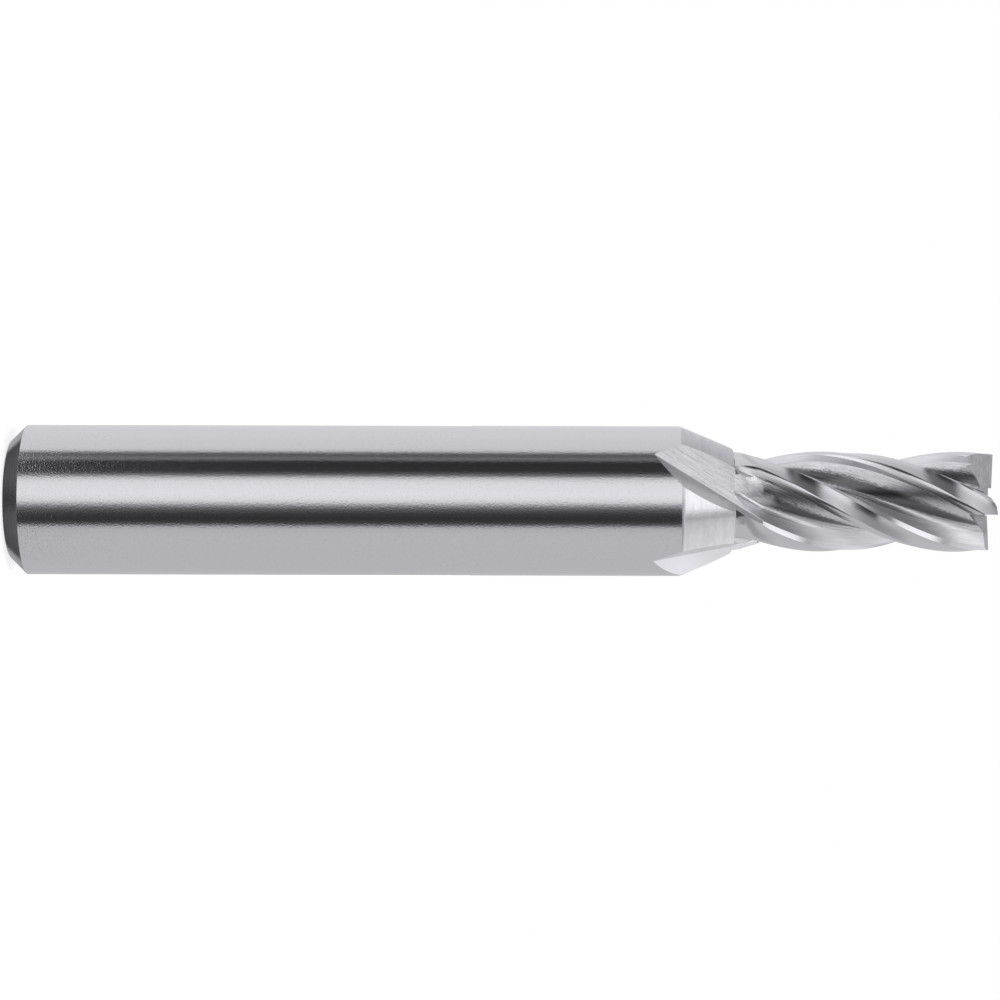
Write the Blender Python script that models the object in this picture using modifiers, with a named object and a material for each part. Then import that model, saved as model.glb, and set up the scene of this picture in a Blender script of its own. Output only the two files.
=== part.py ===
# Four flute end mill with a straight shank, made from one bar of tool steel.
# The tool stands on the end of its shank: the axis is +Z and the cutting end is up.
# All sizes are in metres and all angles in degrees.

import math

import bmesh
import bpy

# Blank
OVERALL_LENGTH = 0.0623
SHANK_DIAMETER = 0.009525
CUTTER_DIAMETER = 0.00635
SHANK_LENGTH = 0.0425
CONE_END_HEIGHT = 0.04585
CONE_END_DIAMETER = 0.00674
SHANK_CHAMFER = 0.0011
SHANK_EDGE_ROUND = 0.0002
BLANK_SEGMENTS = 96

# Helix
FLUTE_COUNT = 4
HELIX_ANGLE = 30.0
TIP_EDGE_ANGLE = 23.4

# Tooth, seen along the axis: angles run from the crest of one tooth to the next
# and radii are shares of the cutter's radius.
NOSE_ANGLE = 5.0
NOSE_RADIUS = 0.982
LEADING_EDGE_ANGLE = 9.5
LEADING_EDGE_RADIUS = 0.94
RAKE_ANGLE = 6.0
HEEL_EDGE_ANGLE = 19.6
HEEL_EDGE_RADIUS = 0.97
HEEL_STRIP_ANGLE = 24.5
HEEL_STRIP_RADIUS = 0.89
CREST_WIDTH = 0.00003

# Chip space
FLUTE_CORE_RADIUS = 0.00168
FLUTE_ROOT_RADIUS = 0.00070
FLUTE_ROOT_POINTS = 5
FLUTE_BACK_POINTS = 6

# Run-out of the grinding wheels into the cone and the shank, with heights above the cone
HELIX_START_ABOVE_CONE = 0.00175
LAND_START_ABOVE_CONE = 0.00155
FULL_DEPTH_ABOVE_CONE = 0.00325
FLUTE_WHEEL_RADIUS = 0.0065
LAND_WHEEL_RADIUS = 0.0060
LAND_RUNOUT_LENGTH = 0.0016
FLUTE_RUNOUT_ROWS = 12
LAND_RUNOUT_ROWS = 6
HELIX_ROWS = 30
RAKE_STRIP_COUNT = 2
RELIEF_STRIP_COUNT = 3

# Straight groove where each flute leaves the cone and the shank. Rise and drift are how
# far its crease moves for each unit of height, and the angles count from the way it rises.
EXIT_DIRECTION = 40.0
EXIT_RISE = 0.175
EXIT_DRIFT = 0.60
EXIT_FLOOR_ANGLE = -100.0
EXIT_FLOOR_TWIST = 16.0
EXIT_WALL_ANGLE = 30.0
EXIT_WALL_TWIST = 26.0
EXIT_NARROWING = 0.00095
EXIT_LATE_POWER = 4
EXIT_CAP_POINTS = 5
EXIT_CAP_WIDTH = 1.1
EXIT_ROWS = 8

# Cutting end
GASH_DEPTH = 0.0019
GASH_FLOOR_ANGLE = 35.0
GASH_SLOPE = 12.0
GASH_PAST_CENTRE = 0.00035
END_EDGE_OFFSET = 0.0008
END_EDGE_ANGLE = 0.0
END_PRIMARY_WIDTH = 0.0005
END_PRIMARY_RELIEF = 12.0
END_SECONDARY_RELIEF = 28.0
END_DISH_ANGLE = 2.5
CENTRE_RECESS_RADIUS = 0.00118
CENTRE_RECESS_DEPTH = 0.00030
CENTRE_RECESS_SEGMENTS = 32

# Reach of the cutting solids past the surfaces they cut
CUTTER_OVERRUN = 0.0020
CUT_CLEARANCE = 0.00008
LAND_OVERLAP = 0.00024

STEEL_COLOR = (0.60, 0.60, 0.61, 1.0)
STEEL_ROUGHNESS = 0.25

HELIX_START = CONE_END_HEIGHT + HELIX_START_ABOVE_CONE
LAND_START = CONE_END_HEIGHT + LAND_START_ABOVE_CONE
FULL_DEPTH_HEIGHT = CONE_END_HEIGHT + FULL_DEPTH_ABOVE_CONE
CUTTER_RADIUS = CUTTER_DIAMETER / 2
SHANK_RADIUS = SHANK_DIAMETER / 2
PITCH_ANGLE = 360.0 / FLUTE_COUNT
CLEAR_RADIUS = CUTTER_RADIUS + CUT_CLEARANCE
OUTSIDE_RADIUS = SHANK_RADIUS + CUTTER_OVERRUN
CAP_RADIUS = OUTSIDE_RADIUS + CUTTER_OVERRUN
LEAD = 2 * math.pi * CUTTER_RADIUS / math.tan(math.radians(HELIX_ANGLE))


def clear_scene():
    for obj in list(bpy.data.objects):
        bpy.data.objects.remove(obj, do_unlink=True)


def new_collection(name):
    collection = bpy.data.collections.new(name)
    bpy.context.scene.collection.children.link(collection)
    return collection


def steel_material():
    material = bpy.data.materials.new("tool_steel")
    material.use_nodes = True
    shader = material.node_tree.nodes["Principled BSDF"]
    shader.inputs["Base Color"].default_value = STEEL_COLOR
    shader.inputs["Metallic"].default_value = 1.0
    shader.inputs["Roughness"].default_value = STEEL_ROUGHNESS
    return material


def polar(radius, degrees):
    angle = math.radians(degrees)
    return (radius * math.cos(angle), radius * math.sin(angle))


def turned(point, degrees):
    angle = math.radians(degrees)
    x, y = point
    return (
        x * math.cos(angle) - y * math.sin(angle),
        x * math.sin(angle) + y * math.cos(angle),
    )


def beyond(start, end, radius):
    """Point where the line from start through end meets a circle about the axis."""
    dx = end[0] - start[0]
    dy = end[1] - start[1]
    length = math.hypot(dx, dy)
    dx /= length
    dy /= length
    along = start[0] * dx + start[1] * dy
    reach = math.sqrt(along ** 2 + radius ** 2 - start[0] ** 2 - start[1] ** 2)
    return (start[0] + (reach - along) * dx, start[1] + (reach - along) * dy)


def between(start, end, count):
    """Points from start to end that split the line into equal strips."""
    points = []
    for step in range(count + 1):
        share = step / count
        points.append((start[0] + (end[0] - start[0]) * share,
                       start[1] + (end[1] - start[1]) * share))
    return points


def past(start, end, extra):
    """Point a little past end on the line from start."""
    dx = end[0] - start[0]
    dy = end[1] - start[1]
    length = math.hypot(dx, dy)
    return (end[0] + dx * extra / length, end[1] + dy * extra / length)


def blank_profile():
    """Half outline of the turned bar, from the centre of the cutting end down."""
    inner = SHANK_RADIUS - SHANK_CHAMFER
    edge = SHANK_EDGE_ROUND
    slant = edge * math.sqrt(0.5)
    return [
        (0.0, OVERALL_LENGTH),
        (CUTTER_RADIUS, OVERALL_LENGTH),
        (CUTTER_RADIUS, CONE_END_HEIGHT),
        (CONE_END_DIAMETER / 2, CONE_END_HEIGHT),
        (SHANK_RADIUS, SHANK_LENGTH),
        (SHANK_RADIUS, SHANK_CHAMFER + edge),
        (SHANK_RADIUS - slant / 4, SHANK_CHAMFER + edge / 4),
        (SHANK_RADIUS - slant, SHANK_CHAMFER - slant),
        (inner + slant, slant),
        (inner + slant / 4, slant / 4),
        (inner - edge, 0.0),
        (0.0, 0.0),
    ]


def make_blank(collection, material):
    profile = blank_profile()
    mesh = bpy.data.meshes.new("end_mill")
    edges = [(i, i + 1) for i in range(len(profile) - 1)]
    mesh.from_pydata([(radius, 0.0, height) for radius, height in profile], edges, [])
    mesh.materials.append(material)
    blank = bpy.data.objects.new("end_mill", mesh)
    collection.objects.link(blank)
    screw = blank.modifiers.new("turned", "SCREW")
    screw.axis = "Z"
    screw.angle = 2 * math.pi
    screw.steps = BLANK_SEGMENTS
    screw.render_steps = BLANK_SEGMENTS
    screw.use_merge_vertices = True
    screw.merge_threshold = 0.000001
    screw.use_smooth_shade = True
    return blank


def helix_angle_at(height):
    """Angle of the first tooth's crest at a height, along the full helix."""
    return TIP_EDGE_ANGLE + 360.0 * (height - OVERALL_LENGTH) / LEAD


def arc(centre, start, end, count):
    """Points on the short arc about centre from start to end."""
    first = math.degrees(math.atan2(start[1] - centre[1], start[0] - centre[0]))
    last = math.degrees(math.atan2(end[1] - centre[1], end[0] - centre[0]))
    sweep = (last - first + 180.0) % 360.0 - 180.0
    radius = math.hypot(start[0] - centre[0], start[1] - centre[1])
    points = []
    for step in range(1, count + 1):
        x, y = polar(radius, first + sweep * step / count)
        points.append((centre[0] + x, centre[1] + y))
    return points


def flute_outline():
    """Section of the chip space: down the rake face, round the core, up to the heel."""
    core = FLUTE_CORE_RADIUS
    root = FLUTE_ROOT_RADIUS
    edge = polar(CUTTER_RADIUS * LEADING_EDGE_RADIUS, LEADING_EDGE_ANGLE)
    heel = polar(CUTTER_RADIUS * HEEL_EDGE_RADIUS, PITCH_ANGLE - HEEL_EDGE_ANGLE)
    crease = polar(CUTTER_RADIUS * HEEL_STRIP_RADIUS, PITCH_ANGLE - HEEL_STRIP_ANGLE)
    inward = polar(1.0, LEADING_EDGE_ANGLE + RAKE_ANGLE + 180.0)
    aside = polar(root, LEADING_EDGE_ANGLE + RAKE_ANGLE + 90.0)
    base = (edge[0] + aside[0], edge[1] + aside[1])
    along = base[0] * inward[0] + base[1] * inward[1]
    apart = base[0] ** 2 + base[1] ** 2 - (core + root) ** 2
    depth = -along - math.sqrt(along ** 2 - apart)
    root_centre = (base[0] + depth * inward[0], base[1] + depth * inward[1])
    root_start = (edge[0] + depth * inward[0], edge[1] + depth * inward[1])
    core_angle = math.degrees(math.atan2(root_centre[1], root_centre[0]))
    lowest = polar(core, core_angle)
    out = polar(1.0, core_angle)
    reach = crease[0] * out[0] + crease[1] * out[1]
    span = crease[0] ** 2 + crease[1] ** 2
    back = (span - 2 * reach * core + core ** 2) / (2 * (reach - core))
    back_centre = polar(core + back, core_angle)
    outline = [beyond(root_start, edge, OUTSIDE_RADIUS)]
    outline += between(beyond(root_start, edge, CLEAR_RADIUS), root_start, RAKE_STRIP_COUNT)
    outline += arc(root_centre, root_start, lowest, FLUTE_ROOT_POINTS)
    outline += arc(back_centre, lowest, crease, FLUTE_BACK_POINTS)
    outline += [beyond(crease, heel, CLEAR_RADIUS)]
    outline += [beyond(crease, heel, OUTSIDE_RADIUS)]
    outline += [polar(CAP_RADIUS, PITCH_ANGLE / 2)]
    return outline


def land_outline():
    """Section between two crests: nose facets, then the relief face behind the next."""
    radius = CUTTER_RADIUS
    margin = math.degrees(CREST_WIDTH / 2 / radius)
    crest = polar(radius, margin)
    nose = polar(radius * NOSE_RADIUS, NOSE_ANGLE)
    edge = polar(radius * LEADING_EDGE_RADIUS, LEADING_EDGE_ANGLE)
    heel = polar(radius * HEEL_EDGE_RADIUS, PITCH_ANGLE - HEEL_EDGE_ANGLE)
    next_crest = polar(radius, PITCH_ANGLE - margin)
    behind = past(next_crest, heel, LAND_OVERLAP)
    outline = [beyond(nose, crest, OUTSIDE_RADIUS)]
    outline += [beyond(nose, crest, CLEAR_RADIUS), nose, past(nose, edge, LAND_OVERLAP)]
    outline += [polar(CLEAR_RADIUS, PITCH_ANGLE / 3), polar(CLEAR_RADIUS, PITCH_ANGLE / 2)]
    outline += between(behind, beyond(heel, next_crest, CLEAR_RADIUS), RELIEF_STRIP_COUNT)
    outline += [beyond(heel, next_crest, OUTSIDE_RADIUS)]
    outline += [polar(CAP_RADIUS, PITCH_ANGLE / 2)]
    return outline


def lifted_ring(outline, height, tooth_angle, helix_start, full_depth_height, wheel_radius):
    """One section of a ground form, lifted and run straight out below its helix."""
    turn_height = max(height, helix_start)
    turn = helix_angle_at(turn_height) + tooth_angle
    straight = (helix_start - min(height, helix_start)) * math.tan(math.radians(HELIX_ANGLE))
    below = max(full_depth_height - height, 0.0) / math.cos(math.radians(HELIX_ANGLE))
    lift = wheel_radius - math.sqrt(max(wheel_radius ** 2 - below ** 2, 0.0))
    middle = turn + PITCH_ANGLE / 2
    out = polar(lift, middle)
    side = polar(straight, middle - 90.0)
    ring = []
    for point in outline:
        x, y = turned(point, turn)
        ring.append((x + out[0] + side[0], y + out[1] + side[1], height))
    return ring


def spread(start, end, count):
    return [start + (end - start) * i / count for i in range(count + 1)]


def make_cutter(name, collection, bm):
    bmesh.ops.recalc_face_normals(bm, faces=bm.faces)
    mesh = bpy.data.meshes.new(name)
    bm.to_mesh(mesh)
    bm.free()
    cutter = bpy.data.objects.new(name, mesh)
    cutter.hide_render = True
    cutter.display_type = "WIRE"
    collection.objects.link(cutter)
    return cutter


def loft(name, collection, rings):
    """Closed solid through sections that have the same number of points."""
    bm = bmesh.new()
    loops = [[bm.verts.new(point) for point in ring] for ring in rings]
    count = len(rings[0])
    for low, high in zip(loops, loops[1:]):
        for i in range(count):
            j = (i + 1) % count
            bm.faces.new((low[i], low[j], high[j]))
            bm.faces.new((low[i], high[j], high[i]))
    bm.faces.new(loops[0][::-1])
    bm.faces.new(loops[-1])
    bmesh.ops.triangulate(bm, faces=[face for face in bm.faces if len(face.verts) > 3])
    return make_cutter(name, collection, bm)


def helix_heights(start):
    return spread(start, OVERALL_LENGTH + CUTTER_OVERRUN, HELIX_ROWS)


def flute_cutter(index, collection):
    outline = flute_outline()
    lowest = FULL_DEPTH_HEIGHT - FLUTE_WHEEL_RADIUS * math.cos(math.radians(HELIX_ANGLE))
    heights = spread(lowest, FULL_DEPTH_HEIGHT, FLUTE_RUNOUT_ROWS)
    heights += helix_heights(FULL_DEPTH_HEIGHT)[1:]
    rings = [
        lifted_ring(outline, height, index * PITCH_ANGLE, HELIX_START,
                    FULL_DEPTH_HEIGHT, FLUTE_WHEEL_RADIUS)
        for height in heights
    ]
    return loft("flute_cutter_%d" % (index + 1), collection, rings)


def exit_path():
    """Crease of the exit groove in a tooth's frame: where it starts, and how it moves."""
    start = polar(CUTTER_RADIUS * HEEL_STRIP_RADIUS, PITCH_ANGLE - HEEL_STRIP_ANGLE)
    rise = polar(EXIT_RISE, EXIT_DIRECTION)
    drift = polar(EXIT_DRIFT, EXIT_DIRECTION - 90.0)
    return start, (rise[0] + drift[0], rise[1] + drift[1])


def exit_length():
    """Height over which the groove's crease climbs out of the shank."""
    start, move = exit_path()
    ahead = (start[0] + move[0], start[1] + move[1])
    end = beyond(start, ahead, SHANK_RADIUS + CUT_CLEARANCE)
    return math.dist(start, end) / math.hypot(*move)


def toward(point, degrees, radius):
    """Point where the line from a point in a direction meets a circle about the axis."""
    x, y = polar(1.0, degrees)
    return beyond(point, (point[0] + x, point[1] + y), radius)


def exit_groove_outline(share):
    """Section of the exit groove, from where it leaves the shank at 0 to its top at 1."""
    start, move = exit_path()
    below = exit_length() * (1.0 - share)
    crease = (start[0] + move[0] * below, start[1] + move[1] * below)
    late = share ** EXIT_LATE_POWER
    floor_angle = EXIT_DIRECTION + EXIT_FLOOR_ANGLE + EXIT_FLOOR_TWIST * late
    wall_angle = EXIT_DIRECTION + EXIT_WALL_ANGLE + EXIT_WALL_TWIST * share
    radius = SHANK_RADIUS + 2 * CUT_CLEARANCE - EXIT_NARROWING * late
    wall_end = toward(crease, wall_angle, radius)
    floor_end = toward(crease, floor_angle, radius)
    first = math.degrees(math.atan2(wall_end[1], wall_end[0]))
    last = math.degrees(math.atan2(floor_end[1], floor_end[0]))
    outline = [crease, wall_end]
    for step in range(1, EXIT_CAP_POINTS):
        around = first + (last - first) * step / EXIT_CAP_POINTS
        outline.append(polar(radius * EXIT_CAP_WIDTH, around))
    outline.append(floor_end)
    return outline


def exit_groove_cutter(index, collection):
    turn = helix_angle_at(HELIX_START) + index * PITCH_ANGLE
    rings = []
    for row in range(EXIT_ROWS + 1):
        share = row / EXIT_ROWS
        height = HELIX_START - exit_length() * (1.0 - share)
        points = [turned(point, turn) for point in exit_groove_outline(share)]
        rings.append([(x, y, height) for x, y in points])
    return loft("exit_groove_cutter_%d" % (index + 1), collection, rings)


def land_cutter(index, collection):
    outline = land_outline()
    lowest = LAND_START - LAND_RUNOUT_LENGTH
    heights = spread(lowest, LAND_START, LAND_RUNOUT_ROWS)
    heights += helix_heights(LAND_START)[1:]
    rings = [
        lifted_ring(outline, height, index * PITCH_ANGLE, lowest,
                    LAND_START, LAND_WHEEL_RADIUS)
        for height in heights
    ]
    return loft("land_cutter_%d" % (index + 1), collection, rings)


def prism(name, collection, outline, near, far, degrees, tilt, pivot):
    """Extruded outline in a tooth's own frame: X out along its end edge, Y ahead of it."""
    slope = math.tan(math.radians(tilt))
    rings = []
    for x in (near, far):
        rise = (x - pivot) * slope
        ring = []
        for y, z in outline:
            px, py = turned((x, y), degrees)
            ring.append((px, py, z + rise))
        rings.append(ring)
    return loft(name, collection, rings)


def end_edge_angle(index):
    """Direction of a tooth's end edge, which the gash cuts just behind the crest."""
    return END_EDGE_ANGLE + index * PITCH_ANGLE


def gash_cutter(index, collection):
    floor = OVERALL_LENGTH - GASH_DEPTH
    reach = CUTTER_RADIUS + CUTTER_OVERRUN
    rise = (reach - END_EDGE_OFFSET) * math.tan(math.radians(GASH_FLOOR_ANGLE))
    top = OVERALL_LENGTH + CUTTER_OVERRUN
    outline = [
        (END_EDGE_OFFSET, floor),
        (reach, floor + rise),
        (reach, top + rise),
        (END_EDGE_OFFSET, top + rise),
    ]
    return prism("gash_cutter_%d" % (index + 1), collection, outline,
                 -GASH_PAST_CENTRE, reach,
                 end_edge_angle(index), -GASH_SLOPE, CUTTER_RADIUS)


def end_relief_cutter(index, collection):
    primary_drop = END_PRIMARY_WIDTH * math.tan(math.radians(END_PRIMARY_RELIEF))
    break_y = END_EDGE_OFFSET - END_PRIMARY_WIDTH
    far_y = -CUTTER_RADIUS - CUTTER_OVERRUN
    secondary_drop = (break_y - far_y) * math.tan(math.radians(END_SECONDARY_RELIEF))
    ahead_y = END_EDGE_OFFSET + END_PRIMARY_WIDTH
    top = OVERALL_LENGTH + CUTTER_OVERRUN
    outline = [
        (ahead_y, OVERALL_LENGTH + primary_drop),
        (ahead_y, top),
        (far_y, top),
        (far_y, OVERALL_LENGTH - primary_drop - secondary_drop),
        (break_y, OVERALL_LENGTH - primary_drop),
    ]
    return prism("end_relief_cutter_%d" % (index + 1), collection, outline,
                 END_EDGE_OFFSET + CREST_WIDTH, CUTTER_RADIUS + CUTTER_OVERRUN,
                 end_edge_angle(index), END_DISH_ANGLE, CUTTER_RADIUS)


def centre_recess_cutter(collection):
    bm = bmesh.new()
    bmesh.ops.create_cone(bm, cap_ends=True, segments=CENTRE_RECESS_SEGMENTS,
                          radius1=CENTRE_RECESS_RADIUS, radius2=CENTRE_RECESS_RADIUS,
                          depth=CUTTER_OVERRUN)
    cutter = make_cutter("centre_recess_cutter", collection, bm)
    cutter.location.z = OVERALL_LENGTH - CENTRE_RECESS_DEPTH + CUTTER_OVERRUN / 2
    return cutter


def cut(blank, cutter):
    boolean = blank.modifiers.new(cutter.name, "BOOLEAN")
    boolean.operation = "DIFFERENCE"
    boolean.solver = "EXACT"
    boolean.object = cutter


def main():
    clear_scene()
    parts = new_collection("end_mill_tool")
    cutters = new_collection("cutters")
    blank = make_blank(parts, steel_material())
    for index in range(FLUTE_COUNT):
        cut(blank, flute_cutter(index, cutters))
    for index in range(FLUTE_COUNT):
        cut(blank, exit_groove_cutter(index, cutters))
    for index in range(FLUTE_COUNT):
        cut(blank, land_cutter(index, cutters))
    for index in range(FLUTE_COUNT):
        cut(blank, gash_cutter(index, cutters))
    for index in range(FLUTE_COUNT):
        cut(blank, end_relief_cutter(index, cutters))
    cut(blank, centre_recess_cutter(cutters))


main()
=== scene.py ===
# The look of a four flute end mill: a fine mesh of the whole tool with a bright ground
# finish, in a plain white studio. It stands on its shank end with the cutting end up, and
# the camera lies on its side, so that the tool lies level across the picture.
# Sizes are in metres and angles in degrees, unless a name says otherwise.

import math

import bmesh
import bpy
from mathutils import Matrix, Vector


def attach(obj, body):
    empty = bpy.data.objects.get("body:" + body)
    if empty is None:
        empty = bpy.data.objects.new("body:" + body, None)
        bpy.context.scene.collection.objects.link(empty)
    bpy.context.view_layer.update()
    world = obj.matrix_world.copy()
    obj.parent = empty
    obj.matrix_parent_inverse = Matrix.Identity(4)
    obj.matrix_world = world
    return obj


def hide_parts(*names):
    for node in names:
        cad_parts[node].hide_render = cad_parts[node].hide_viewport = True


MM_PER_METRE = 1000.0
METRES_PER_MICROMETRE = 1e-6

# Blank
OVERALL_LENGTH = 0.0623
SHANK_RADIUS = 0.0047625
CUTTER_RADIUS = 0.003175
SHANK_LENGTH = 0.0425
CONE_END_HEIGHT = 0.04585
CONE_END_RADIUS = 0.00337
SHANK_CHAMFER = 0.0011
SHANK_END_ROUND = 0.0002
CONE_EDGE_ROUND = 0.00012
BLANK_SEGMENTS = 240

# Helix
FLUTE_COUNT = 4
PITCH_ANGLE = 360.0 / FLUTE_COUNT
HELIX_ANGLE = 30.0
LEAD = 2 * math.pi * CUTTER_RADIUS / math.tan(math.radians(HELIX_ANGLE))
TIP_EDGE_ANGLE = 23.4

# Tooth: the leading edge's angle counts from its crest, and the heel's angles count back
# from the next crest. Radii are shares of the cutter's.
LEADING_EDGE_ANGLE = 9.5
LEADING_EDGE_RADIUS = 0.94
NOSE_POWER = 1.7
NOSE_STRIPS = 6
RAKE_ANGLE = 6.0
RAKE_STRIPS = 7
HEEL_EDGE_ANGLE = 19.6
HEEL_EDGE_RADIUS = 0.97
HEEL_STRIP_ANGLE = 24.5
HEEL_STRIP_RADIUS = 0.89
HEEL_STRIPS = 4
RELIEF_STRIPS = 8
CREST_WIDTH = 0.00003

# Chip space, with angles from the crest. The first points of the flute's back are ground
# as coarsely as its floor.
RAKE_DEPTH = 0.00045
FLUTE_CORE_RADIUS = 0.00172
FLUTE_CORE_ANGLE = 48.0
FLUTE_CORNER_RADIUS = 0.00178
FLUTE_CORNER_ANGLE = 60.0
FLUTE_FLOOR_POINTS = 20
FLUTE_BACK_POINTS = 14
FLUTE_COARSE_BACK_POINTS = 6

# Run-out of the grinding wheels into the cone and the shank
FLUTE_HELIX_START = 0.0476
FLUTE_FULL_DEPTH_HEIGHT = 0.0484
FLUTE_WHEEL_RADIUS = 0.0052
LAND_START = 0.0474
LAND_WHEEL_RADIUS = 0.0060
LAND_RUNOUT_LENGTH = 0.0016

# Straight groove where each flute leaves the cone and the shank. Rise and drift are how
# far its crease moves for each unit of height. The direction in which it rises and its
# middle count from the crest, and the other angles count from that direction.
EXIT_DIRECTION = 40.0
EXIT_RISE = 0.175
EXIT_DRIFT = 0.60
EXIT_FLOOR_ANGLE = -100.0
EXIT_FLOOR_TWIST = 16.0
EXIT_WALL_ANGLE = 30.0
EXIT_WALL_TWIST = 26.0
EXIT_NARROWING = 0.00095
EXIT_LATE_POWER = 4
EXIT_CAP_POINTS = 5
EXIT_CAP_WIDTH = 1.1
EXIT_MIDDLE_ANGLE = 30.0

# Cutting end
GASH_DEPTH = 0.0019
GASH_FLOOR_ANGLE = 35.0
GASH_SLOPE = 12.0
GASH_PAST_CENTRE = 0.00035
END_EDGE_OFFSET = 0.0008
END_EDGE_ANGLE = 0.0
END_PRIMARY_WIDTH = 0.0005
END_PRIMARY_RELIEF = 12.0
END_SECONDARY_RELIEF = 28.0
END_DISH_ANGLE = 2.5
CENTRE_RECESS_RADIUS = 0.00118
CENTRE_RECESS_DEPTH = 0.00030

# Reach of the cutting solids past the surfaces they cut
CUTTER_OVERRUN = 0.0020
CUT_CLEARANCE = 0.00008
CREST_CLEARANCE = 0.000002
SIDE_CLEARANCE = 0.00002
LAND_OVERLAP = 0.00024
CLEAR_RADIUS = CUTTER_RADIUS + CUT_CLEARANCE
OUTSIDE_RADIUS = SHANK_RADIUS + CUTTER_OVERRUN
CAP_RADIUS = OUTSIDE_RADIUS + CUTTER_OVERRUN

# Fineness of the mesh, and the angle past which an edge stays sharp
ROW_HEIGHT = 0.00016
RECESS_SEGMENTS = 64
CORNER_STRIPS = 4
MERGE_DISTANCE = 0.0000002
SHARP_ANGLE = 14.0

# Colours of the steel, and its fine, coarse and speckled grain as features a millimetre
# along each axis. A pit begins at the first level of the speckle and is full at the second.
GROUND_STEEL = (0.74, 0.74, 0.76)
FRESH_STEEL = (0.86, 0.86, 0.88)
# The end faces' colour is the steel's, darkened by painted shade.
END_STEEL_WITH_PAINTED_SHADE = (0.48, 0.48, 0.49)
RING_GRAIN = ((0.7, 0.7, 12.0), (1.6, 1.6, 5.0), (10.0, 10.0, 10.0))
TURNED_GRAIN = ((0.3, 0.3, 6.0), (0.8, 0.8, 3.0), (8.0, 8.0, 8.0))
STREAK_GRAIN = ((14.0, 14.0, 0.8), (8.0, 8.0, 0.9), (12.0, 12.0, 6.0))
PIT_LEVELS = (0.60, 0.68)

# Painted shade on the deepest part of each flute. It fades in and out between angles behind
# the crest, which waver by the wobble, and it fades in between two heights.
PAINTED_SHADE_START = (20.0, 30.0)
PAINTED_SHADE_END = (43.0, 51.0)
PAINTED_SHADE_WOBBLE = 10.0
PAINTED_SHADE_SHARE = 0.76
PAINTED_SHADE_HEIGHTS_MM = (47.2, 48.8)

# Surfaces of the tool, in the order of its material slots
SURFACES = ("shank", "cone", "flute", "exit", "back", "rake", "heel", "nose", "land", "end")

# Camera, on the tool's +X side with the tool's axis across the picture
CAMERA_DISTANCE = 0.190
CAMERA_HEIGHT = 0.03109
CAMERA_SIDE = -0.00004
CAMERA_ROLL = 0.15
CAMERA_LENS_MM = 107.52

# Studio: brightness at angles round the tool's axis, up from the camera's side. The level
# ring of light lies square to the axis. The others lie nearer the tip's end or the shank's,
# and each takes over between two values of the direction's part along the axis.
LEVEL_LIGHT = (
    (-180.0, 0.58), (-60.0, 0.61), (-46.0, 0.58), (-41.0, 0.50), (-38.0, 0.08), (-30.0, 0.03),
    (-20.0, 0.05), (-12.0, 0.14), (-7.0, 0.42), (-2.0, 0.86), (8.0, 0.98), (27.0, 0.92),
    (33.0, 0.75), (38.0, 0.20), (43.0, 0.04), (62.0, 0.03), (65.0, 0.20), (69.0, 0.20),
    (71.0, 0.10), (77.0, 0.12), (81.0, 0.68), (86.0, 0.74), (120.0, 0.80), (179.9, 0.76),
)
RAISED_LIGHT = (
    (-180.0, 0.65), (-90.0, 0.62), (-70.0, 0.44), (-40.0, 0.33), (-20.0, 0.38), (15.0, 0.75),
    (32.0, 0.60), (42.0, 0.15), (72.0, 0.18), (84.0, 0.55), (179.9, 0.72),
)
RAISED_BLEND = (0.12, 0.22)
UPPER_LIGHT = (
    (-180.0, 0.85), (-100.0, 0.88), (-50.0, 0.65), (-20.0, 0.60), (20.0, 0.95), (32.0, 0.60),
    (55.0, 0.20), (80.0, 0.28), (100.0, 0.55), (179.9, 0.65),
)
UPPER_BLEND = (0.38, 0.52)
TOP_LIGHT = (
    (-180.0, 0.85), (-110.0, 1.1), (-43.0, 0.65), (-37.0, 0.42), (-32.0, 0.50), (-22.0, 0.85),
    (-14.0, 1.2), (10.0, 1.25), (45.0, 1.1), (57.0, 0.35), (75.0, 0.25), (100.0, 0.50),
    (179.9, 0.60),
)
TOP_BLEND = (0.62, 0.74)
LOWERED_LIGHT = (
    (-180.0, 0.45), (-125.0, 0.25), (-108.0, 0.10), (-50.0, 0.05), (-32.0, 0.10), (-15.0, 0.33),
    (0.0, 0.55), (20.0, 0.72), (45.0, 0.90), (58.0, 1.2), (98.0, 1.2), (112.0, 0.75),
    (130.0, 0.45), (179.9, 0.45),
)
LOWERED_BLEND = (-0.19, -0.23)
LOW_LIGHT = (
    (-180.0, 0.05), (-160.0, 0.06), (-125.0, 0.15), (-90.0, 0.24), (-75.0, 0.35),
    (-45.0, 0.95), (0.0, 1.15), (20.0, 0.90), (40.0, 0.90), (75.0, 0.50), (95.0, 0.36),
    (125.0, 0.14), (160.0, 0.06), (179.9, 0.05),
)
LOW_BLEND = (-0.52, -0.63)
BLUE_LIFT = 1.03
FLOOR_HALF_SIZE = 3.0
FLOOR_SHADE = 0.8
FLOOR_GLOW = 0.6


def surface(name):
    """Material slot of a surface."""
    return SURFACES.index(name)


def polar(radius, degrees):
    angle = math.radians(degrees)
    return (radius * math.cos(angle), radius * math.sin(angle))


def turned(point, degrees):
    angle = math.radians(degrees)
    x, y = point
    return (
        x * math.cos(angle) - y * math.sin(angle),
        x * math.sin(angle) + y * math.cos(angle),
    )


def beyond(start, end, radius):
    """Point where the line from start through end meets a circle about the axis."""
    dx = end[0] - start[0]
    dy = end[1] - start[1]
    length = math.hypot(dx, dy)
    dx /= length
    dy /= length
    along = start[0] * dx + start[1] * dy
    reach = math.sqrt(along ** 2 + radius ** 2 - start[0] ** 2 - start[1] ** 2)
    return (start[0] + (reach - along) * dx, start[1] + (reach - along) * dy)


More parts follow.
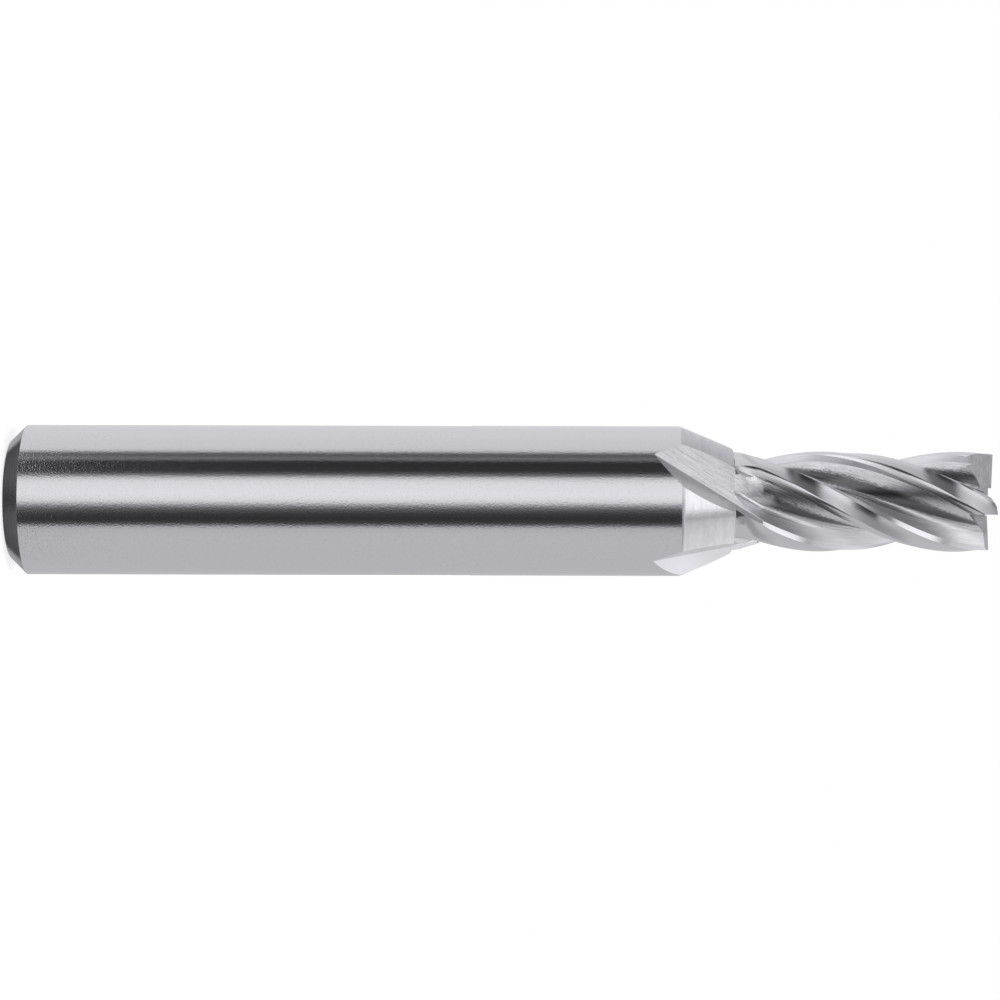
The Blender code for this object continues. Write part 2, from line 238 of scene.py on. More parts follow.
def between(start, end, count):
    """Points from start to end that split the line into equal strips."""
    points = []
    for step in range(count + 1):
        share = step / count
        points.append((start[0] + (end[0] - start[0]) * share,
                       start[1] + (end[1] - start[1]) * share))
    return points


def past(start, end, extra):
    """Point a little past end on the line from start."""
    dx = end[0] - start[0]
    dy = end[1] - start[1]
    length = math.hypot(dx, dy)
    return (end[0] + dx * extra / length, end[1] + dy * extra / length)


def tagged(points, name):
    """Each point with the surface of the strip that leads on from it."""
    return [(point, surface(name)) for point in points]


def bend(first, corner, last, count):
    """Points on the quadratic curve from first to last that a corner pulls on."""
    points = []
    for step in range(count + 1):
        t = step / count
        points.append(tuple(a * (1 - t) ** 2 + b * 2 * t * (1 - t) + c * t ** 2
                            for a, b, c in zip(first, corner, last)))
    return points


def rounded(before, corner, after, size):
    """Points that round a corner of a half outline."""
    first = Vector(corner) + (Vector(before) - Vector(corner)).normalized() * size
    last = Vector(corner) + (Vector(after) - Vector(corner)).normalized() * size
    return bend(first, corner, last, CORNER_STRIPS)


def blank_profile():
    """Half outline of the turned bar from the cutting end down, with its surfaces."""
    axis_top = (0.0, OVERALL_LENGTH)
    tip = (CUTTER_RADIUS, OVERALL_LENGTH)
    neck = (CUTTER_RADIUS, CONE_END_HEIGHT)
    step = (CONE_END_RADIUS, CONE_END_HEIGHT)
    shoulder = (SHANK_RADIUS, SHANK_LENGTH)
    chamfer_top = (SHANK_RADIUS, SHANK_CHAMFER)
    chamfer_low = (SHANK_RADIUS - SHANK_CHAMFER, 0.0)
    axis_low = (0.0, 0.0)
    shoulder_round = rounded(step, shoulder, chamfer_top, CONE_EDGE_ROUND)
    low_round = rounded(chamfer_top, chamfer_low, axis_low, SHANK_END_ROUND)
    cone_support = past(shoulder, shoulder_round[0], CONE_EDGE_ROUND)
    shank_support = past(shoulder, shoulder_round[-1], CONE_EDGE_ROUND)
    profile = tagged([axis_top], "end")
    profile += tagged([tip], "land")
    profile += tagged([neck, step, cone_support] + shoulder_round[:-1], "cone")
    profile += tagged([shoulder_round[-1], shank_support], "shank")
    profile += tagged([chamfer_top] + low_round + [axis_low], "cone")
    return profile


def turned_solid(profile):
    """Closed solid of revolution about the axis, with a surface for each strip."""
    bm = bmesh.new()
    rings = []
    for (radius, height), _ in profile:
        if radius == 0.0:
            rings.append([bm.verts.new((0.0, 0.0, height))])
            continue
        ring = []
        for index in range(BLANK_SEGMENTS):
            x, y = polar(radius, 360.0 * index / BLANK_SEGMENTS)
            ring.append(bm.verts.new((x, y, height)))
        rings.append(ring)
    for upper, lower, (_, slot) in zip(rings, rings[1:], profile):
        for index in range(BLANK_SEGMENTS):
            following = (index + 1) % BLANK_SEGMENTS
            corners = [upper[index % len(upper)], lower[index % len(lower)]]
            corners += [lower[following % len(lower)], upper[following % len(upper)]]
            face = bm.faces.new(list(dict.fromkeys(corners)))
            face.material_index = slot
    return bm


def flute_outline():
    """Section of the chip space: down the rake face, down the floor, up to the heel."""
    edge = polar(CUTTER_RADIUS * LEADING_EDGE_RADIUS, LEADING_EDGE_ANGLE)
    heel = polar(CUTTER_RADIUS * HEEL_EDGE_RADIUS, PITCH_ANGLE - HEEL_EDGE_ANGLE)
    crease = polar(CUTTER_RADIUS * HEEL_STRIP_RADIUS, PITCH_ANGLE - HEEL_STRIP_ANGLE)
    inward = polar(RAKE_DEPTH, LEADING_EDGE_ANGLE + RAKE_ANGLE + 180.0)
    rake_end = (edge[0] + inward[0], edge[1] + inward[1])
    rake_radius = math.hypot(*rake_end)
    rake_end_angle = math.degrees(math.atan2(rake_end[1], rake_end[0]))
    floor = []
    for step in range(1, FLUTE_FLOOR_POINTS + 1):
        share = step / FLUTE_FLOOR_POINTS
        radius = rake_radius * (FLUTE_CORE_RADIUS / rake_radius) ** share
        angle = rake_end_angle + (FLUTE_CORE_ANGLE - rake_end_angle) * share
        floor.append(polar(radius, angle))
    corner = polar(FLUTE_CORNER_RADIUS, FLUTE_CORNER_ANGLE)
    back = bend(floor[-1], corner, crease, FLUTE_BACK_POINTS)[1:]
    edge_out = beyond(rake_end, edge, CLEAR_RADIUS)
    heel_out = beyond(crease, heel, CLEAR_RADIUS)
    outline = tagged([beyond(rake_end, edge, OUTSIDE_RADIUS)], "rake")
    outline += tagged(between(edge_out, rake_end, RAKE_STRIPS)[:-1], "rake")
    outline += tagged([rake_end] + floor + back[:FLUTE_COARSE_BACK_POINTS], "flute")
    outline += tagged(back[FLUTE_COARSE_BACK_POINTS:-1], "back")
    outline += tagged(between(crease, heel_out, HEEL_STRIPS), "heel")
    outline += tagged([beyond(crease, heel, OUTSIDE_RADIUS)], "flute")
    outline += tagged([polar(CAP_RADIUS, PITCH_ANGLE / 2)], "flute")
    return outline


def nose_point(share):
    """Point on the rounded nose, from the crest at 0 to the leading edge at 1."""
    drop = (1.0 - LEADING_EDGE_RADIUS) * share ** NOSE_POWER
    return polar(CUTTER_RADIUS * (1.0 - drop), LEADING_EDGE_ANGLE * share)


def tooth_outline():
    """A quarter of the relieved bar's section, from one crest to the next."""
    margin = math.degrees(CREST_WIDTH / 2 / CUTTER_RADIUS)
    nose = [nose_point(step / NOSE_STRIPS) for step in range(NOSE_STRIPS + 1)]
    nose[0] = polar(CUTTER_RADIUS + CREST_CLEARANCE, margin)
    heel = polar(CUTTER_RADIUS * HEEL_EDGE_RADIUS, PITCH_ANGLE - HEEL_EDGE_ANGLE)
    next_crest = polar(CUTTER_RADIUS + CREST_CLEARANCE, PITCH_ANGLE - margin)
    inner = past(nose[-2], nose[-1], LAND_OVERLAP)
    behind = past(next_crest, heel, LAND_OVERLAP)
    outline = tagged(nose + [inner], "nose")
    outline += tagged([polar(CLEAR_RADIUS, PITCH_ANGLE / 3)], "land")
    outline += tagged([polar(CLEAR_RADIUS, PITCH_ANGLE / 2)], "land")
    outline += tagged(between(behind, next_crest, RELIEF_STRIPS), "land")
    return outline


def helix_angle_at(height):
    """Angle of the first tooth's crest at a height, along the full helix."""
    return TIP_EDGE_ANGLE + 360.0 * (height - OVERALL_LENGTH) / LEAD


def lifted_point(point, height, tooth, helix_start, full_depth_height, wheel_radius):
    """A point of a ground form's section, lifted and run straight out below its helix."""
    turn = helix_angle_at(max(height, helix_start)) + tooth * PITCH_ANGLE
    straight = (helix_start - min(height, helix_start)) * math.tan(math.radians(HELIX_ANGLE))
    below = max(full_depth_height - height, 0.0) / math.cos(math.radians(HELIX_ANGLE))
    lift = wheel_radius - math.sqrt(max(wheel_radius ** 2 - below ** 2, 0.0))
    middle = turn + PITCH_ANGLE / 2
    x, y = turned(point, turn)
    out = polar(lift, middle)
    side = polar(straight, middle - 90.0)
    return (x + out[0] + side[0], y + out[1] + side[1], height)


def heights_between(low, high, step):
    count = math.ceil((high - low) / step)
    return [low + (high - low) * index / count for index in range(count + 1)]


def add_loft(bm, rings, slots):
    """Adds a closed solid through sections that have the same number of points."""
    loops = [[bm.verts.new(point) for point in ring] for ring in rings]
    for low, high in zip(loops, loops[1:]):
        for i, slot in enumerate(slots):
            j = (i + 1) % len(slots)
            for corners in ((low[i], low[j], high[j]), (low[i], high[j], high[i])):
                bm.faces.new(corners).material_index = slot
    for loop in (loops[0], loops[-1]):
        bm.faces.new(loop).material_index = slots[-1]


def flute_cutter():
    """The four grinding wheels' sweeps, which stay clear of each other, in one mesh."""
    outline = flute_outline()
    slots = [slot for _, slot in outline]
    lowest = FLUTE_FULL_DEPTH_HEIGHT - FLUTE_WHEEL_RADIUS * math.cos(math.radians(HELIX_ANGLE))
    heights = heights_between(lowest, OVERALL_LENGTH + CUTTER_OVERRUN, ROW_HEIGHT)
    bm = bmesh.new()
    for tooth in range(FLUTE_COUNT):
        rings = []
        for height in heights:
            rings.append([
                lifted_point(point, height, tooth, FLUTE_HELIX_START,
                             FLUTE_FULL_DEPTH_HEIGHT, FLUTE_WHEEL_RADIUS)
                for point, _ in outline
            ])
        add_loft(bm, rings, slots)
    return bm


def exit_path():
    """Crease of the exit groove in a tooth's frame: where it starts, and how it moves."""
    start = polar(CUTTER_RADIUS * HEEL_STRIP_RADIUS, PITCH_ANGLE - HEEL_STRIP_ANGLE)
    rise = polar(EXIT_RISE, EXIT_DIRECTION)
    drift = polar(EXIT_DRIFT, EXIT_DIRECTION - 90.0)
    return start, (rise[0] + drift[0], rise[1] + drift[1])


def exit_length():
    """Height over which the groove's crease climbs out of the shank."""
    start, move = exit_path()
    ahead = (start[0] + move[0], start[1] + move[1])
    end = beyond(start, ahead, SHANK_RADIUS + CUT_CLEARANCE)
    return math.dist(start, end) / math.hypot(*move)


def toward(point, degrees, radius):
    """Point where the line from a point in a direction meets a circle about the axis."""
    x, y = polar(1.0, degrees)
    return beyond(point, (point[0] + x, point[1] + y), radius)


def exit_groove_outline(share):
    """Section of the exit groove, from where it leaves the shank at 0 to its top at 1."""
    start, move = exit_path()
    below = exit_length() * (1.0 - share)
    crease = (start[0] + move[0] * below, start[1] + move[1] * below)
    late = share ** EXIT_LATE_POWER
    floor_angle = EXIT_DIRECTION + EXIT_FLOOR_ANGLE + EXIT_FLOOR_TWIST * late
    wall_angle = EXIT_DIRECTION + EXIT_WALL_ANGLE + EXIT_WALL_TWIST * share
    radius = SHANK_RADIUS + 2 * CUT_CLEARANCE - EXIT_NARROWING * late
    wall_end = toward(crease, wall_angle, radius)
    floor_end = toward(crease, floor_angle, radius)
    first = math.degrees(math.atan2(wall_end[1], wall_end[0]))
    last = math.degrees(math.atan2(floor_end[1], floor_end[0]))
    outline = [crease, wall_end]
    for step in range(1, EXIT_CAP_POINTS):
        around = first + (last - first) * step / EXIT_CAP_POINTS
        outline.append(polar(radius * EXIT_CAP_WIDTH, around))
    outline.append(floor_end)
    return outline


def exit_groove_cutter():
    """The four straight grooves, which stay clear of each other, in one mesh."""
    count = math.ceil(exit_length() / ROW_HEIGHT)
    slots = [surface("heel")] + [surface("exit")] * (EXIT_CAP_POINTS + 1)
    bm = bmesh.new()
    for tooth in range(FLUTE_COUNT):
        turn = helix_angle_at(FLUTE_HELIX_START) + tooth * PITCH_ANGLE
        rings = []
        for row in range(count + 1):
            share = row / count
            height = FLUTE_HELIX_START - exit_length() * (1.0 - share)
            points = [turned(point, turn) for point in exit_groove_outline(share)]
            rings.append([(x, y, height) for x, y in points])
        add_loft(bm, rings, slots)
    return bm


def tooth_form():
    """Solid that the relieved teeth, the cone and the shank lie inside."""
    outline = tooth_outline()
    slots = [slot for _, slot in outline] * FLUTE_COUNT
    lowest = LAND_START - LAND_RUNOUT_LENGTH
    heights = heights_between(lowest, OVERALL_LENGTH + CUTTER_OVERRUN, ROW_HEIGHT)
    rings = []
    for height in heights:
        ring = []
        for tooth in range(FLUTE_COUNT):
            for point, _ in outline:
                ring.append(lifted_point(point, height, tooth, lowest,
                                         LAND_START, LAND_WHEEL_RADIUS))
        rings.append(ring)
    wide = []
    for x, y, _ in rings[0]:
        stretch = OUTSIDE_RADIUS / math.hypot(x, y)
        wide.append((x * stretch, y * stretch))
    below = [
        [(x, y, -CUTTER_OVERRUN) for x, y in wide],
        [(x, y, lowest - SIDE_CLEARANCE) for x, y in wide],
    ]
    bm = bmesh.new()
    add_loft(bm, below + rings, slots)
    return bm


def end_edge_angle(tooth):
    """Direction of a tooth's end edge, which the gash cuts just behind the crest."""
    return END_EDGE_ANGLE + tooth * PITCH_ANGLE


def add_prisms(bm, outline, near, tilt):
    """One extruded outline a tooth, in the frame of its end edge: X out, Y ahead."""
    far = CUTTER_RADIUS + CUTTER_OVERRUN
    slope = math.tan(math.radians(tilt))
    slots = [surface("end")] * len(outline)
    for tooth in range(FLUTE_COUNT):
        rings = []
        for x in (near, far):
            rise = (x - CUTTER_RADIUS) * slope
            ring = []
            for y, z in outline:
                px, py = turned((x, y), end_edge_angle(tooth))
                ring.append((px, py, z + rise))
            rings.append(ring)
        add_loft(bm, rings, slots)


def gash_cutter():
    floor = OVERALL_LENGTH - GASH_DEPTH
    reach = CUTTER_RADIUS + CUTTER_OVERRUN
    rise = (reach - END_EDGE_OFFSET) * math.tan(math.radians(GASH_FLOOR_ANGLE))
    top = OVERALL_LENGTH + CUTTER_OVERRUN
    outline = [
        (END_EDGE_OFFSET, floor),
        (reach, floor + rise),
        (reach, top + rise),
        (END_EDGE_OFFSET, top + rise),
    ]
    bm = bmesh.new()
    add_prisms(bm, outline, -GASH_PAST_CENTRE, -GASH_SLOPE)
    return bm


def end_relief_cutter():
    primary_slope = math.tan(math.radians(END_PRIMARY_RELIEF))
    primary_drop = END_PRIMARY_WIDTH * primary_slope
    break_y = END_EDGE_OFFSET - END_PRIMARY_WIDTH
    far_y = -CUTTER_RADIUS - CUTTER_OVERRUN
    secondary_drop = (break_y - far_y) * math.tan(math.radians(END_SECONDARY_RELIEF))
    ahead_y = END_EDGE_OFFSET + SIDE_CLEARANCE
    top = OVERALL_LENGTH + CUTTER_OVERRUN
    outline = [
        (ahead_y, OVERALL_LENGTH + SIDE_CLEARANCE * primary_slope),
        (ahead_y, top),
        (far_y, top),
        (far_y, OVERALL_LENGTH - primary_drop - secondary_drop),
        (break_y, OVERALL_LENGTH - primary_drop),
    ]
    bm = bmesh.new()
    add_prisms(bm, outline, END_EDGE_OFFSET + CREST_WIDTH, END_DISH_ANGLE)
    return bm


def centre_recess_cutter():
    low = OVERALL_LENGTH - CENTRE_RECESS_DEPTH
    high = OVERALL_LENGTH + CUTTER_OVERRUN
    rings = []
    for height in (low, high):
        ring = []
        for index in range(RECESS_SEGMENTS):
            x, y = polar(CENTRE_RECESS_RADIUS, 360.0 * (index + 0.5) / RECESS_SEGMENTS)
            ring.append((x, y, height))
        rings.append(ring)
    bm = bmesh.new()
    add_loft(bm, rings, [surface("end")] * RECESS_SEGMENTS)
    return bm


def mesh_object(name, bm, materials):
    bmesh.ops.recalc_face_normals(bm, faces=bm.faces)
    mesh = bpy.data.meshes.new(name)
    bm.to_mesh(mesh)
    bm.free()
    for material in materials:
        mesh.materials.append(material)
    obj = bpy.data.objects.new(name, mesh)
    bpy.context.scene.collection.objects.link(obj)
    return obj


def carve(body, cutters):
    """Applies each cutting solid in turn and removes it."""
    for operation, cutter in cutters:
        boolean = body.modifiers.new(cutter.name, "BOOLEAN")
        boolean.operation = operation
        boolean.solver = "EXACT"
        boolean.object = cutter
    bpy.context.view_layer.update()
    evaluated = body.evaluated_get(bpy.context.evaluated_depsgraph_get())
    mesh = bpy.data.meshes.new_from_object(evaluated)
    body.modifiers.clear()
    body.data = mesh
    for _, cutter in cutters:
        bpy.data.objects.remove(cutter, do_unlink=True)


def smooth(body):
    """Joins stray points, then shades smooth up to the sharp edges."""
    bm = bmesh.new()
    bm.from_mesh(body.data)
    bmesh.ops.remove_doubles(bm, verts=bm.verts, dist=MERGE_DISTANCE)
    bmesh.ops.dissolve_degenerate(bm, dist=MERGE_DISTANCE, edges=bm.edges)
    bm.to_mesh(body.data)
    bm.free()
    body.data.shade_smooth()
    body.data.set_sharp_from_angle(angle=math.radians(SHARP_ANGLE))
    weighted = body.modifiers.new("weighted_normals", "WEIGHTED_NORMAL")
    weighted.keep_sharp = True


def make_tool(materials):
    body = mesh_object("end_mill_ground", turned_solid(blank_profile()), materials)
    cutters = [
        ("INTERSECT", mesh_object("tooth_form", tooth_form(), materials)),
        ("DIFFERENCE", mesh_object("flute_cutter", flute_cutter(), materials)),
        ("DIFFERENCE", mesh_object("exit_groove_cutter", exit_groove_cutter(), materials)),
        ("DIFFERENCE", mesh_object("gash_cutter", gash_cutter(), materials)),
        ("DIFFERENCE", mesh_object("end_relief_cutter", end_relief_cutter(), materials)),
        ("DIFFERENCE", mesh_object("centre_recess_cutter", centre_recess_cutter(), materials)),
    ]
    carve(body, cutters)
    smooth(body)
    return body


def add(tree, kind, **settings):
    node = tree.nodes.new(kind)
    for name, value in settings.items():
        setattr(node, name, value)
    return node


def feed(tree, socket, value):
    """Links an output into a socket, or sets the socket to a plain value."""
    if isinstance(value, bpy.types.NodeSocket):
        tree.links.new(value, socket)
    else:
        socket.default_value = value


def calc(tree, operation, first, second=0.0, third=0.0):
    node = add(tree, "ShaderNodeMath", operation=operation)
    for socket, value in zip(node.inputs, (first, second, third)):
        feed(tree, socket, value)
    return node.outputs[0]


def fade(tree, value, low, high):
    """Share from 0 to 1 that grows smoothly as the value goes from low to high."""
    node = add(tree, "ShaderNodeMapRange", interpolation_type="SMOOTHSTEP")
    for socket, given in zip(node.inputs, (value, low, high)):
        feed(tree, socket, given)
    return node.outputs[0]


def millimetres(tree):
    """Position on the tool in millimetres."""
    position = add(tree, "ShaderNodeTexCoord").outputs["Object"]
    scale = add(tree, "ShaderNodeVectorMath", operation="SCALE")
    feed(tree, scale.inputs[0], position)
    scale.inputs["Scale"].default_value = MM_PER_METRE
    return scale.outputs[0]


def untwisted(tree, position):
    """Position turned back along the helix, so that the flutes run straight up."""
    height = add(tree, "ShaderNodeSeparateXYZ")
    feed(tree, height.inputs[0], position)
    twist = -2 * math.pi / (LEAD * MM_PER_METRE)
    rotate = add(tree, "ShaderNodeVectorRotate", rotation_type="Z_AXIS")
    feed(tree, rotate.inputs["Vector"], position)
    feed(tree, rotate.inputs["Angle"], calc(tree, "MULTIPLY", height.outputs["Z"], twist))
    return rotate.outputs[0]


def along_groove(tree, position):
    """Position in the frame of the nearest exit groove, which then runs straight up."""
    split = add(tree, "ShaderNodeSeparateXYZ")
    feed(tree, split.inputs[0], position)
    turn = helix_angle_at(FLUTE_HELIX_START)
    middle = turn + EXIT_MIDDLE_ANGLE
    angle = calc(tree, "ARCTAN2", split.outputs["Y"], split.outputs["X"])
    quarters = calc(tree, "MULTIPLY_ADD", angle, 2.0 / math.pi, -middle / PITCH_ANGLE)
    back = calc(tree, "MULTIPLY", calc(tree, "ROUND", quarters), -math.pi / 2)
    rotate = add(tree, "ShaderNodeVectorRotate", rotation_type="Z_AXIS")
    feed(tree, rotate.inputs["Vector"], position)
    feed(tree, rotate.inputs["Angle"], back)
    _, move = exit_path()
    x, y = turned(move, turn)
    slide = add(tree, "ShaderNodeVectorMath", operation="SCALE")
    slide.inputs[0].default_value = (x, y, 0.0)
    feed(tree, slide.inputs["Scale"], split.outputs["Z"])
    shifted = add(tree, "ShaderNodeVectorMath", operation="ADD")
    feed(tree, shifted.inputs[0], rotate.outputs[0])
    feed(tree, shifted.inputs[1], slide.outputs[0])
    return shifted.outputs[0]


def noise(tree, position, stretch, detail, roughness):
    """Noise with a number of features a millimetre along each axis."""
    spread = add(tree, "ShaderNodeVectorMath", operation="MULTIPLY")
    feed(tree, spread.inputs[0], position)
    spread.inputs[1].default_value = stretch
    node = add(tree, "ShaderNodeTexNoise")
    feed(tree, node.inputs["Vector"], spread.outputs[0])
    node.inputs["Scale"].default_value = 1.0
    node.inputs["Detail"].default_value = detail
    node.inputs["Roughness"].default_value = roughness
    return node.outputs["Fac"]


def bump(tree, height, depth_um, normal=None):
    """Relief of a given full depth in micrometres."""
    node = add(tree, "ShaderNodeBump")
    feed(tree, node.inputs["Height"], height)
    node.inputs["Distance"].default_value = depth_um * METRES_PER_MICROMETRE
    if normal is not None:
        feed(tree, node.inputs["Normal"], normal)
    return node.outputs[0]


def painted_shade_band(tree, position, wobble):
    """Share of painted shade, at the angles behind each crest where the flutes are deepest."""
    split = add(tree, "ShaderNodeSeparateXYZ")
    feed(tree, split.inputs[0], position)
    angle = calc(tree, "ARCTAN2", split.outputs["Y"], split.outputs["X"])
    behind = calc(tree, "MULTIPLY_ADD", angle, 180.0 / math.pi, -helix_angle_at(0.0))
    behind = calc(tree, "WRAP", behind, PITCH_ANGLE, 0.0)
    behind = calc(tree, "MULTIPLY_ADD", calc(tree, "SUBTRACT", wobble, 0.5), PAINTED_SHADE_WOBBLE, behind)
    begun = fade(tree, behind, *PAINTED_SHADE_START)
    ended = fade(tree, behind, *PAINTED_SHADE_END)
    helical = fade(tree, split.outputs["Z"], *PAINTED_SHADE_HEIGHTS_MM)
    return calc(tree, "MULTIPLY", calc(tree, "SUBTRACT", begun, ended), helical)


def steel(name, color, grain, depths_um, roughness, variation, frame=None,
          mottle=0.0, pit_share=0.0, painted_shade_share=0.0):
    """Bare steel with a directional grain, a coarser waviness and fine pits.

    The depths are those of the grain's three layers, and the variation is how far the
    roughness changes over the fine one. The last three values are shares of the colour, and
    the last of them is painted shade on the deepest part of each flute.
    """
    material = bpy.data.materials.new(name)
    material.use_nodes = True
    tree = material.node_tree
    shader = tree.nodes["Principled BSDF"]
    shader.inputs["Metallic"].default_value = 1.0
    position = millimetres(tree)
    if frame is not None:
        position = frame(tree, position)
    fine = noise(tree, position, grain[0], detail=3.0, roughness=0.6)
    coarse = noise(tree, position, grain[1], detail=2.0, roughness=0.5)
    speck = noise(tree, position, grain[2], detail=1.0, roughness=0.5)
    pits = fade(tree, speck, *PIT_LEVELS)
    normal = bump(tree, fine, depths_um[0])
    normal = bump(tree, coarse, depths_um[1], normal)
    normal = bump(tree, speck, depths_um[2], normal)
    feed(tree, shader.inputs["Normal"], normal)
    uneven = calc(tree, "SUBTRACT", fine, 0.5)
    uneven = calc(tree, "MULTIPLY_ADD", uneven, variation, roughness)
    feed(tree, shader.inputs["Roughness"], uneven)
    shade = calc(tree, "MULTIPLY_ADD", calc(tree, "SUBTRACT", coarse, 0.5), mottle, 1.0)
    shade = calc(tree, "SUBTRACT", shade, calc(tree, "MULTIPLY", pits, pit_share))
    # Painted shade on the deepest part of each flute
    if painted_shade_share:
        painted_shade = calc(tree, "MULTIPLY", painted_shade_band(tree, position, speck), -painted_shade_share)
        shade = calc(tree, "MULTIPLY", shade, calc(tree, "ADD", painted_shade, 1.0))
    tint = add(tree, "ShaderNodeVectorMath", operation="SCALE")
    tint.inputs[0].default_value = color
    feed(tree, tint.inputs["Scale"], shade)
    feed(tree, shader.inputs["Base Color"], tint.outputs[0])
    return material


def tool_materials():
    """One material for each surface, in the order of their names."""
    return [
        steel("ground_shank", GROUND_STEEL, RING_GRAIN, (1.0, 0.8, 4.5),
              roughness=0.11, variation=0.04, pit_share=0.06),
        steel("turned_cone", GROUND_STEEL, TURNED_GRAIN, (7.0, 7.0, 3.0),
              roughness=0.14, variation=0.06, mottle=0.3),
        # The flutes' colour holds painted shade on their deepest parts
        steel("ground_flute", GROUND_STEEL, STREAK_GRAIN, (9.0, 6.0, 2.0),
              roughness=0.18, variation=0.08, frame=untwisted,
              mottle=0.6, pit_share=0.15, painted_shade_share=PAINTED_SHADE_SHARE),
        steel("ground_exit", GROUND_STEEL, STREAK_GRAIN, (9.0, 6.0, 2.0),
              roughness=0.20, variation=0.08, frame=along_groove, mottle=0.5, pit_share=0.10),
        steel("ground_back", FRESH_STEEL, STREAK_GRAIN, (4.0, 3.0, 2.0),
              roughness=0.46, variation=0.10, frame=untwisted, mottle=0.3),
        steel("ground_rake", FRESH_STEEL, STREAK_GRAIN, (2.0, 1.5, 1.0),
              roughness=0.34, variation=0.08, frame=untwisted),
        steel("ground_heel", GROUND_STEEL, STREAK_GRAIN, (1.5, 1.5, 1.0),
              roughness=0.15, variation=0.06, frame=untwisted),
        steel("ground_nose", GROUND_STEEL, STREAK_GRAIN, (1.5, 1.5, 1.0),
              roughness=0.16, variation=0.06, frame=untwisted),
        steel("ground_land", GROUND_STEEL, STREAK_GRAIN, (1.5, 1.5, 1.0),
              roughness=0.15, variation=0.06, frame=untwisted),
        # End faces: steel colour darkened by painted shade
        steel("ground_end", END_STEEL_WITH_PAINTED_SHADE, RING_GRAIN, (1.5, 3.0, 3.0),
              roughness=0.22, variation=0.06, mottle=0.6),
    ]


def ramp(tree, azimuth, stops):
    """Brightness round the tool, from angles up from the camera's side."""
    node = add(tree, "ShaderNodeValToRGB")
    elements = node.color_ramp.elements
    while len(elements) > 1:
        elements.remove(elements[-1])
    for index, (angle, value) in enumerate(stops):
        place = 0.5 + angle / 360.0
        element = elements[0] if index == 0 else elements.new(place)
        element.position = place
        element.color = (value, value, value * BLUE_LIFT, 1.0)
    feed(tree, node.inputs[0], azimuth)
    return node.outputs[0]


def mix_colors(tree, factor, first, second):
    node = add(tree, "ShaderNodeMix", data_type="RGBA")
    feed(tree, node.inputs["Factor"], factor)
    colors = [socket for socket in node.inputs if socket.type == "RGBA"]
    feed(tree, colors[0], first)
    feed(tree, colors[1], second)
    return [socket for socket in node.outputs if socket.type == "RGBA"][0]


def make_studio():
    """A white room to look at, and soft strip lights with dark gaps to be reflected."""
    world = bpy.data.worlds.new("studio")
    bpy.context.scene.world = world
    world.use_nodes = True
    tree = world.node_tree
    background = tree.nodes["Background"]
    direction = add(tree, "ShaderNodeSeparateXYZ")
    feed(tree, direction.inputs[0], add(tree, "ShaderNodeTexCoord").outputs["Generated"])
    upward = calc(tree, "MULTIPLY", direction.outputs["Y"], -1.0)
    azimuth = calc(tree, "ARCTAN2", upward, direction.outputs["X"])
    place = calc(tree, "MULTIPLY_ADD", azimuth, 0.5 / math.pi, 0.5)
    height = direction.outputs["Z"]
    lit = ramp(tree, place, LEVEL_LIGHT)
    for stops, blend in (
        (RAISED_LIGHT, RAISED_BLEND), (UPPER_LIGHT, UPPER_BLEND), (TOP_LIGHT, TOP_BLEND),
        (LOWERED_LIGHT, LOWERED_BLEND), (LOW_LIGHT, LOW_BLEND),
    ):
        lit = mix_colors(tree, fade(tree, height, *blend), lit, ramp(tree, place, stops))
    seen = add(tree, "ShaderNodeLightPath").outputs["Is Camera Ray"]
    white = (1.0, 1.0, 1.0, 1.0)
    feed(tree, background.inputs["Color"], mix_colors(tree, seen, lit, white))


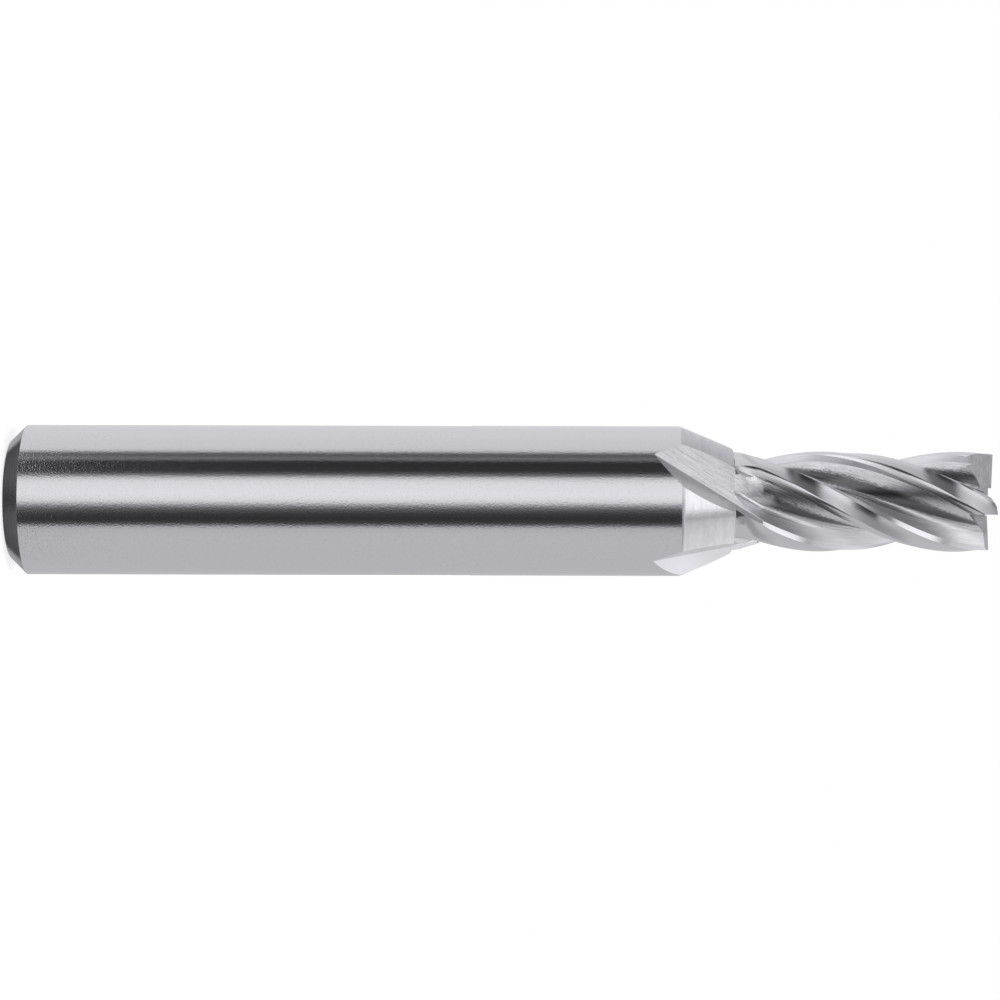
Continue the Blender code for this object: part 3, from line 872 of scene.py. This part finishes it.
def make_floor():
    """A white floor that keeps the tool's shadow and lets the metal reflect the room."""
    bm = bmesh.new()
    bmesh.ops.create_grid(bm, x_segments=1, y_segments=1, size=FLOOR_HALF_SIZE)
    material = bpy.data.materials.new("white_floor")
    material.use_nodes = True
    tree = material.node_tree
    tree.nodes.remove(tree.nodes["Principled BSDF"])
    paths = add(tree, "ShaderNodeLightPath")
    paint = add(tree, "ShaderNodeBsdfDiffuse")
    paint.inputs["Color"].default_value = (FLOOR_SHADE, FLOOR_SHADE, FLOOR_SHADE, 1.0)
    glow = add(tree, "ShaderNodeEmission")
    feed(tree, glow.inputs["Strength"],
         calc(tree, "MULTIPLY", paths.outputs["Is Camera Ray"], FLOOR_GLOW))
    both = add(tree, "ShaderNodeAddShader")
    feed(tree, both.inputs[0], paint.outputs[0])
    feed(tree, both.inputs[1], glow.outputs[0])
    clear = add(tree, "ShaderNodeBsdfTransparent")
    choice = add(tree, "ShaderNodeMixShader")
    feed(tree, choice.inputs[0], paths.outputs["Is Glossy Ray"])
    feed(tree, choice.inputs[1], both.outputs[0])
    feed(tree, choice.inputs[2], clear.outputs[0])
    feed(tree, tree.nodes["Material Output"].inputs["Surface"], choice.outputs[0])
    return mesh_object("floor", bm, [material])


def make_camera():
    camera = bpy.data.cameras.new("camera")
    camera.lens = CAMERA_LENS_MM
    obj = bpy.data.objects.new("camera", camera)
    bpy.context.scene.collection.objects.link(obj)
    right = Vector((0.0, 0.0, 1.0))
    up = Vector((0.0, -1.0, 0.0))
    back = Vector((1.0, 0.0, 0.0))
    axes = Matrix((right, up, back)).transposed()
    roll = Matrix.Rotation(math.radians(CAMERA_ROLL), 3, back)
    place = Vector((CAMERA_DISTANCE, CAMERA_SIDE, CAMERA_HEIGHT))
    obj.matrix_world = Matrix.Translation(place) @ (roll @ axes).to_4x4()
    bpy.context.scene.camera = obj


def main():
    bpy.context.scene.view_settings.view_transform = "Standard"
    make_camera()
    make_studio()
    make_floor()
    tool = make_tool(tool_materials())
    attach(tool, "root")
    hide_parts("end_mill")


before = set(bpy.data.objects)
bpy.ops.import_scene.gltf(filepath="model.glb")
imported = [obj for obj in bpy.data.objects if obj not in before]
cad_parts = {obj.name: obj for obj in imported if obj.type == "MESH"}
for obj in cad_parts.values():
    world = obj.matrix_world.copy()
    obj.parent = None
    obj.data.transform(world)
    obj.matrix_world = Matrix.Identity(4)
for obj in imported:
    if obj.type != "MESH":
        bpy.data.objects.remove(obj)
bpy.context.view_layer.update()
main()
